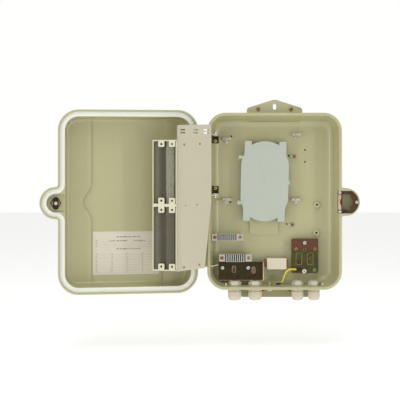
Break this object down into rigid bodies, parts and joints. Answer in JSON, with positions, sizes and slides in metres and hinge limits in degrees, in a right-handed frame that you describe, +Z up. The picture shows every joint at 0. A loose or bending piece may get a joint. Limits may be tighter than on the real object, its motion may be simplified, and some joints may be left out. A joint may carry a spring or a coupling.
{
  "type": "fiber termination box",
  "caption": "Wall-mounted outdoor fibre termination box with its lid and adapter frame swung open, splice tray, cable clamps, earth lead, glands and a quarter-turn lock.",
  "frame": {"origin": "middle of the base's back face, on the wall plane", "axes": "+Z up, +X to the latch side as seen from the front, +Y into the wall; the open front looks along -Y"},
  "size_m": [0.7167, 0.1216, 0.4581],
  "materials": {
    "shell_plastic": "satin moulded olive-cream",
    "gasket_foam": "off-white foam rubber",
    "label_paper": "printed paper",
    "passivated_zinc": "iridescent yellow passivation",
    "bright_zinc": "bright zinc plate",
    "nylon": "natural nylon",
    "clamp_aluminium": "extruded, mill finish",
    "tray_plastic": "fine-textured ABS",
    "wire_jacket": "yellow with a green stripe",
    "black_sleeve": "heat-shrink sleeve",
    "frame_paint": "fine powder coat",
    "panel_paint": "fine powder coat",
    "smoked_cover": "smoked sheet"
  },
  "bodies": {
    "box": {"base_shell": "shell_plastic", "top_bracket": "shell_plastic", "bottom_bracket": "shell_plastic", "keeper_plate": "passivated_zinc", "hinge_pin": "bright_zinc", "top_bracket_screw_1": "bright_zinc", "top_bracket_screw_2": "bright_zinc", "bottom_bracket_screw_1": "bright_zinc", "bottom_bracket_screw_2": "bright_zinc", "keeper_screw_1": "bright_zinc", "keeper_screw_2": "bright_zinc", "keeper_screw_3": "bright_zinc", "frame_bracket_upper": "passivated_zinc", "frame_bracket_lower": "passivated_zinc", "fibre_clip_1": "nylon", "fibre_clip_2": "nylon", "fibre_clip_3": "nylon", "fibre_clip_4": "nylon", "cable_saddle_1": "bright_zinc", "cable_saddle_2": "bright_zinc", "cable_clamp_upper": "clamp_aluminium", "cable_clamp_lower": "clamp_aluminium", "cable_plate": "passivated_zinc", "earth_plate": "passivated_zinc", "terminal_bracket": "passivated_zinc", "terminal_block": "nylon", "tray_base": "tray_plastic", "earth_wire": "wire_jacket", "earth_sleeve_upper": "black_sleeve", "earth_sleeve_lower": "black_sleeve", "earth_lug_upper": "bright_zinc", "earth_lug_lower": "bright_zinc", "earth_bolt": "bright_zinc", "earth_nut": "bright_zinc", "gland_1_body": "nylon", "gland_1_locknut": "nylon", "gland_2_body": "nylon", "gland_2_locknut": "nylon", "gland_3_body": "nylon", "gland_3_locknut": "nylon", "gland_4_body": "nylon", "gland_4_locknut": "nylon"},
    "lid": {"lid_shell": "shell_plastic", "lid_gasket": "gasket_foam", "lid_label": "label_paper", "lock_barrel": "passivated_zinc", "lock_nut": "passivated_zinc"},
    "lock_cam": {"lock_cam": "passivated_zinc"},
    "swing_frame": {"swing_plate": "frame_paint", "adapter_frame": "panel_paint", "adapter_cover": "smoked_cover"},
    "tray_lid": {"tray_cover": "tray_plastic"},
    "gland_cap_1": {"gland_1_cap": "nylon"},
    "gland_cap_2": {"gland_2_cap": "nylon"},
    "gland_cap_3": {"gland_3_cap": "nylon"},
    "gland_cap_4": {"gland_4_cap": "nylon"}
  },
  "joints": [
    {"name": "lid_hinge", "type": "hinge", "parent": "box", "child": "lid", "pos_m": [-0.165, -0.06, 0], "axis": [0, 0, 1], "range_deg": [-6, 171]},
    {"name": "frame_hinge", "type": "hinge", "parent": "box", "child": "swing_frame", "pos_m": [-0.1335, -0.054, 0], "axis": [0, 0, 1], "range_deg": [-6, 148.5]},
    {"name": "lock_turn", "type": "hinge", "parent": "lid", "child": "lock_cam", "pos_m": [-0.48748, -0.11108, -0.002], "axis": [0.1564, -0.9877, 0], "range_deg": [0, 90]},
    {"name": "tray_lid_hinge", "type": "hinge", "parent": "box", "child": "tray_lid", "pos_m": [-0.07908, -0.028, 0.04583], "axis": [0.0244, 0, 0.9997], "range_deg": [-100, 0]},
    {"name": "gland_cap_1_turn", "type": "hinge", "parent": "box", "child": "gland_cap_1", "pos_m": [-0.0895, -0.031, -0.216], "axis": [0, 0, 1], "continuous": true},
    {"name": "gland_cap_2_turn", "type": "hinge", "parent": "box", "child": "gland_cap_2", "pos_m": [-0.0427, -0.031, -0.216], "axis": [0, 0, 1], "continuous": true},
    {"name": "gland_cap_3_turn", "type": "hinge", "parent": "box", "child": "gland_cap_3", "pos_m": [0.054, -0.031, -0.216], "axis": [0, 0, 1], "continuous": true},
    {"name": "gland_cap_4_turn", "type": "hinge", "parent": "box", "child": "gland_cap_4", "pos_m": [0.0913, -0.031, -0.216], "axis": [0, 0, 1], "continuous": true}
  ],
  "couplings": [
    {"joint": "frame_hinge", "follows": "lid_hinge", "ratio": 0.8655}
  ]
}
